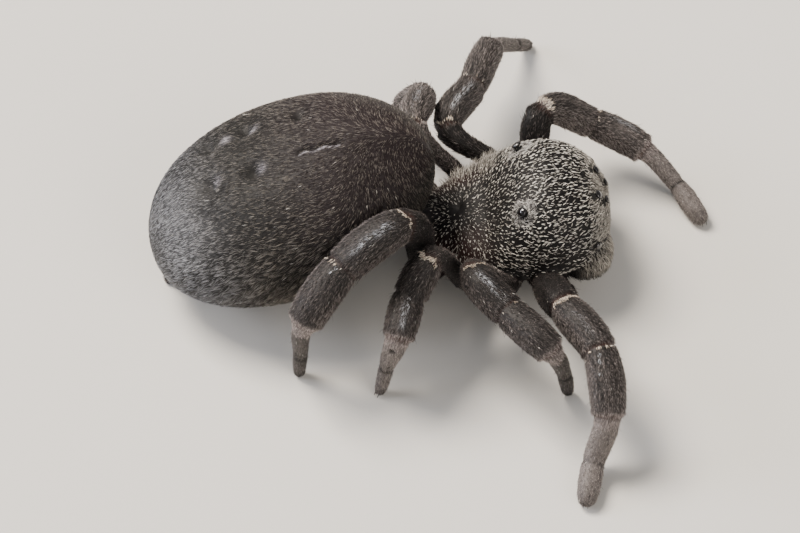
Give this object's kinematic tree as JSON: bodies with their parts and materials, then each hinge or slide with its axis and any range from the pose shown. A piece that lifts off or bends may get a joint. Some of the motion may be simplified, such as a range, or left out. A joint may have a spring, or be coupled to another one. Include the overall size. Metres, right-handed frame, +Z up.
{
  "type": "ladybird spider",
  "caption": "Still life-size ladybird spider, a stout velvety black female with an egg-shaped abdomen, a high square head and short thick legs, standing on its feet.",
  "frame": {"origin": "middle of the box round the whole spider, on the floor that it stands on", "axes": "+X ahead, the way the head points; +Y to the spider's left; +Z up"},
  "size_m": [0.0172, 0.0184, 0.0058],
  "materials": {
    "shield_velvet": "horny skin under short dense black and white hair",
    "abdomen_velvet": "soft skin under deep black velvet",
    "leg_velvet": "horny skin under short charcoal hair",
    "fang_horn": "smooth red-brown horn",
    "eye_lens": "smooth dark lens"
  },
  "bodies": {
    "root": {"prosoma": "shield_velvet", "abdomen": "abdomen_velvet", "pedicel": "abdomen_velvet", "spinnerets": "abdomen_velvet", "chelicera_left": "shield_velvet", "chelicera_right": "shield_velvet", "fang_left": "fang_horn", "fang_right": "fang_horn", "palp_left": "leg_velvet", "palp_right": "leg_velvet", "eye_front_median_left": "eye_lens", "eye_front_median_right": "eye_lens", "eye_rear_median_left": "eye_lens", "eye_rear_median_right": "eye_lens", "eye_front_lateral_left": "eye_lens", "eye_front_lateral_right": "eye_lens", "eye_rear_lateral_left": "eye_lens", "eye_rear_lateral_right": "eye_lens", "leg_left_1_femur": "leg_velvet", "leg_left_1_patella": "leg_velvet", "leg_left_1_tibia": "leg_velvet", "leg_left_1_metatarsus": "leg_velvet", "leg_left_1_tarsus": "leg_velvet", "leg_left_2_femur": "leg_velvet", "leg_left_2_patella": "leg_velvet", "leg_left_2_tibia": "leg_velvet", "leg_left_2_metatarsus": "leg_velvet", "leg_left_2_tarsus": "leg_velvet", "leg_left_3_femur": "leg_velvet", "leg_left_3_patella": "leg_velvet", "leg_left_3_tibia": "leg_velvet", "leg_left_3_metatarsus": "leg_velvet", "leg_left_3_tarsus": "leg_velvet", "leg_left_4_femur": "leg_velvet", "leg_left_4_patella": "leg_velvet", "leg_left_4_tibia": "leg_velvet", "leg_left_4_metatarsus": "leg_velvet", "leg_left_4_tarsus": "leg_velvet", "leg_right_1_femur": "leg_velvet", "leg_right_1_patella": "leg_velvet", "leg_right_1_tibia": "leg_velvet", "leg_right_1_metatarsus": "leg_velvet", "leg_right_1_tarsus": "leg_velvet", "leg_right_2_femur": "leg_velvet", "leg_right_2_patella": "leg_velvet", "leg_right_2_tibia": "leg_velvet", "leg_right_2_metatarsus": "leg_velvet", "leg_right_2_tarsus": "leg_velvet", "leg_right_3_femur": "leg_velvet", "leg_right_3_patella": "leg_velvet", "leg_right_3_tibia": "leg_velvet", "leg_right_3_metatarsus": "leg_velvet", "leg_right_3_tarsus": "leg_velvet", "leg_right_4_femur": "leg_velvet", "leg_right_4_patella": "leg_velvet", "leg_right_4_tibia": "leg_velvet", "leg_right_4_metatarsus": "leg_velvet", "leg_right_4_tarsus": "leg_velvet"}
  },
  "joints": []
}
